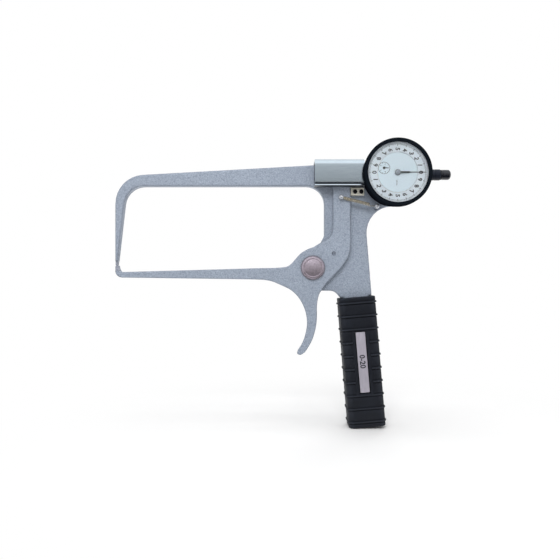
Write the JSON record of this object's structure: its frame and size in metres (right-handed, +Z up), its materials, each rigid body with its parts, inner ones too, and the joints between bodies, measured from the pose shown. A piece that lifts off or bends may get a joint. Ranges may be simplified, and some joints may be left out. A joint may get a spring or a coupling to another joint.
{
  "type": "outside dial caliper",
  "caption": "Outside dial caliper with a C-shaped frame, a trigger lever, a ribbed grip and a dial indicator.",
  "frame": {"origin": "middle of the grip", "axes": "front with the dial faces -Y, jaws towards -X, +Z up with the grip hanging down"},
  "size_m": [0.275, 0.0408, 0.2336],
  "materials": {
    "hammered_paint": "satin",
    "chrome": "polished",
    "black_metal": "satin",
    "dial_white": "matte",
    "steel": "satin",
    "pointer_black": "satin",
    "pale_plastic": "matte",
    "crystal": "gloss",
    "brass": "satin",
    "spring_steel": "satin",
    "rubber": "matte",
    "label_aluminium": "satin",
    "pale_steel": "satin"
  },
  "bodies": {
    "frame_body": {"frame": "hammered_paint", "upper_contact_tip": "steel", "grip": "rubber", "label_plate": "label_aluminium", "stop_plate": "pale_steel", "stop_screw_left": "steel", "stop_screw_right": "steel", "pivot_bush": "brass", "pivot_washer": "steel", "pivot_screw": "steel", "pivot_nut": "steel", "spring_post_frame": "steel", "lever_spring": "spring_steel", "spindle_cover": "chrome", "cover_screw_left": "steel", "cover_screw_right": "steel", "dial_screw_1": "steel", "dial_screw_2": "steel", "dial_screw_3": "steel", "dial_back_cover": "black_metal", "dial_case": "black_metal", "dial_plate": "dial_white", "movement_plate": "brass", "rear_bridge": "brass", "stem": "steel", "stem_clamp": "steel", "clamp_screw": "steel", "collar": "black_metal", "dust_cap": "black_metal"},
    "lever_body": {"lever": "hammered_paint", "lower_contact_tip": "steel", "lever_set_screw": "steel", "spring_post_lever": "steel", "finger_anvil": "steel"},
    "spindle_body": {"spindle": "steel", "contact_point": "steel"},
    "bezel_body": {"bezel": "black_metal", "crystal": "crystal", "spacer_ring": "pale_plastic", "scale_ring": "dial_white"},
    "main_pointer_body": {"main_pointer": "pointer_black"},
    "counter_pointer_body": {"counter_pointer": "pointer_black"}
  },
  "joints": [
    {"name": "lever_pivot", "type": "hinge", "parent": "frame_body", "child": "lever_body", "pos_m": [-0.04045, 0, 0.07697], "axis": [0, -1, 0], "range_deg": [0, 7.05], "stiffness_Nm_per_rad": 0.6, "springref_deg": -34.38, "deforming": ["lever_spring"]},
    {"name": "spindle_slide", "type": "slide", "parent": "frame_body", "child": "spindle_body", "axis": [-1, 0, 0], "range_m": [0, 0.0092]},
    {"name": "main_pointer_turn", "type": "hinge", "parent": "frame_body", "child": "main_pointer_body", "pos_m": [0.02615, 0, 0.15237], "axis": [0, -1, 0], "range_deg": [0, 3600]},
    {"name": "counter_pointer_turn", "type": "hinge", "parent": "frame_body", "child": "counter_pointer_body", "pos_m": [0.01534, 0, 0.15587], "axis": [0, -1, 0], "range_deg": [-360, 0]},
    {"name": "bezel_turn", "type": "hinge", "parent": "frame_body", "child": "bezel_body", "pos_m": [0.02615, 0, 0.15237], "axis": [0, -1, 0], "continuous": true}
  ],
  "couplings": [
    {"joint": "spindle_slide", "follows": "lever_pivot", "m_per_rad": 0.0745},
    {"joint": "main_pointer_turn", "follows": "lever_pivot", "ratio": 510},
    {"joint": "counter_pointer_turn", "follows": "lever_pivot", "ratio": -51}
  ]
}
